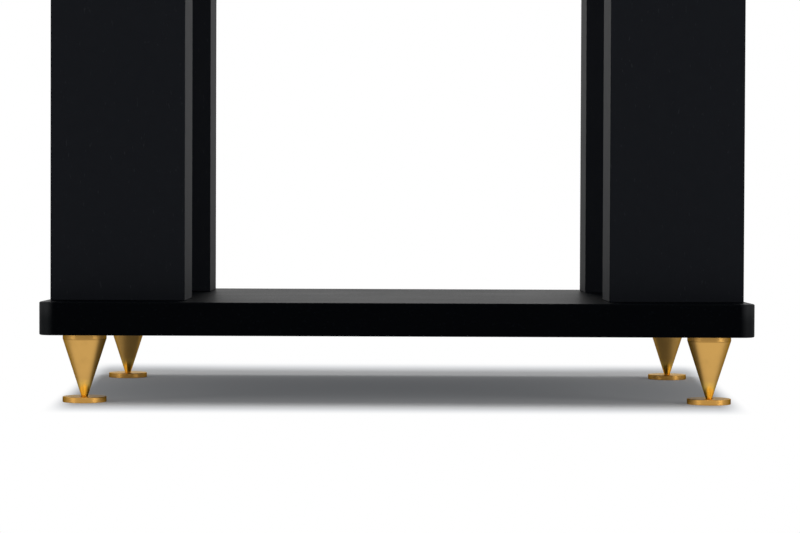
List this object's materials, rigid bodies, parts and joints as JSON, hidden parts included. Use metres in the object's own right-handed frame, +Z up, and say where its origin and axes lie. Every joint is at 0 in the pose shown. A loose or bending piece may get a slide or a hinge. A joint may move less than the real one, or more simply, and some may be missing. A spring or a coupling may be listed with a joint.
{
  "type": "speaker stand",
  "caption": "Loudspeaker stand: two rectangular plates held apart by four rectangular pillars, on turned brass levelling spikes that stand on loose floor discs.",
  "frame": {"origin": "on the floor, under the middle of the stand", "axes": "+Z up; the wide front faces -Y, and +X is to the right seen from the front"},
  "size_m": [0.386, 0.26, 0.6],
  "materials": {
    "plate_black": "black lacquer with a fine grained texture",
    "pillar_black": "satin black with a fine texture",
    "brass": "satin turned brass",
    "black_steel": "black oxide",
    "zinc_steel": "zinc plate"
  },
  "bodies": {
    "stand": {"base_plate": "plate_black", "top_plate": "plate_black", "pillar_front_left": "pillar_black", "pillar_front_right": "pillar_black", "pillar_rear_left": "pillar_black", "pillar_rear_right": "pillar_black", "base_bolt_front_left_inner": "black_steel", "base_washer_front_left_inner": "zinc_steel", "lower_insert_front_left_inner": "zinc_steel", "upper_insert_front_left_inner": "zinc_steel", "top_screw_front_left_inner": "black_steel", "base_bolt_front_left_outer": "black_steel", "base_washer_front_left_outer": "zinc_steel", "lower_insert_front_left_outer": "zinc_steel", "upper_insert_front_left_outer": "zinc_steel", "top_screw_front_left_outer": "black_steel", "base_bolt_front_right_inner": "black_steel", "base_washer_front_right_inner": "zinc_steel", "lower_insert_front_right_inner": "zinc_steel", "upper_insert_front_right_inner": "zinc_steel", "top_screw_front_right_inner": "black_steel", "base_bolt_front_right_outer": "black_steel", "base_washer_front_right_outer": "zinc_steel", "lower_insert_front_right_outer": "zinc_steel", "upper_insert_front_right_outer": "zinc_steel", "top_screw_front_right_outer": "black_steel", "base_bolt_rear_left_inner": "black_steel", "base_washer_rear_left_inner": "zinc_steel", "lower_insert_rear_left_inner": "zinc_steel", "upper_insert_rear_left_inner": "zinc_steel", "top_screw_rear_left_inner": "black_steel", "base_bolt_rear_left_outer": "black_steel", "base_washer_rear_left_outer": "zinc_steel", "lower_insert_rear_left_outer": "zinc_steel", "upper_insert_rear_left_outer": "zinc_steel", "top_screw_rear_left_outer": "black_steel", "base_bolt_rear_right_inner": "black_steel", "base_washer_rear_right_inner": "zinc_steel", "lower_insert_rear_right_inner": "zinc_steel", "upper_insert_rear_right_inner": "zinc_steel", "top_screw_rear_right_inner": "black_steel", "base_bolt_rear_right_outer": "black_steel", "base_washer_rear_right_outer": "zinc_steel", "lower_insert_rear_right_outer": "zinc_steel", "upper_insert_rear_right_outer": "zinc_steel", "top_screw_rear_right_outer": "black_steel", "foot_insert_front_left": "zinc_steel", "foot_insert_front_right": "zinc_steel", "foot_insert_rear_left": "zinc_steel", "foot_insert_rear_right": "zinc_steel"},
    "disc_front_left": {"floor_disc_front_left": "brass"},
    "spike_front_left": {"spike_front_left": "brass"},
    "disc_front_right": {"floor_disc_front_right": "brass"},
    "spike_front_right": {"spike_front_right": "brass"},
    "disc_rear_left": {"floor_disc_rear_left": "brass"},
    "spike_rear_left": {"spike_rear_left": "brass"},
    "disc_rear_right": {"floor_disc_rear_right": "brass"},
    "spike_rear_right": {"spike_rear_right": "brass"}
  },
  "joints": [
    {"name": "foot_front_left_level", "type": "slide", "parent": "stand", "child": "disc_front_left", "axis": [0, 0, -1], "range_m": [0, 0.006]},
    {"name": "foot_front_left_turn", "type": "hinge", "parent": "disc_front_left", "child": "spike_front_left", "pos_m": [-0.1715, -0.1005, 0.038], "axis": [0, 0, -1], "range_deg": [0, 1729]},
    {"name": "foot_front_right_level", "type": "slide", "parent": "stand", "child": "disc_front_right", "axis": [0, 0, -1], "range_m": [0, 0.006]},
    {"name": "foot_front_right_turn", "type": "hinge", "parent": "disc_front_right", "child": "spike_front_right", "pos_m": [0.1715, -0.1005, 0.038], "axis": [0, 0, -1], "range_deg": [0, 1729]},
    {"name": "foot_rear_left_level", "type": "slide", "parent": "stand", "child": "disc_rear_left", "axis": [0, 0, -1], "range_m": [0, 0.006]},
    {"name": "foot_rear_left_turn", "type": "hinge", "parent": "disc_rear_left", "child": "spike_rear_left", "pos_m": [-0.1715, 0.1005, 0.038], "axis": [0, 0, -1], "range_deg": [0, 1729]},
    {"name": "foot_rear_right_level", "type": "slide", "parent": "stand", "child": "disc_rear_right", "axis": [0, 0, -1], "range_m": [0, 0.006]},
    {"name": "foot_rear_right_turn", "type": "hinge", "parent": "disc_rear_right", "child": "spike_rear_right", "pos_m": [0.1715, 0.1005, 0.038], "axis": [0, 0, -1], "range_deg": [0, 1729]}
  ],
  "couplings": [
    {"joint": "foot_front_left_turn", "follows": "foot_front_left_level", "rad_per_m": 5026.5},
    {"joint": "foot_front_right_turn", "follows": "foot_front_right_level", "rad_per_m": 5026.5},
    {"joint": "foot_rear_left_turn", "follows": "foot_rear_left_level", "rad_per_m": 5026.5},
    {"joint": "foot_rear_right_turn", "follows": "foot_rear_right_level", "rad_per_m": 5026.5}
  ]
}
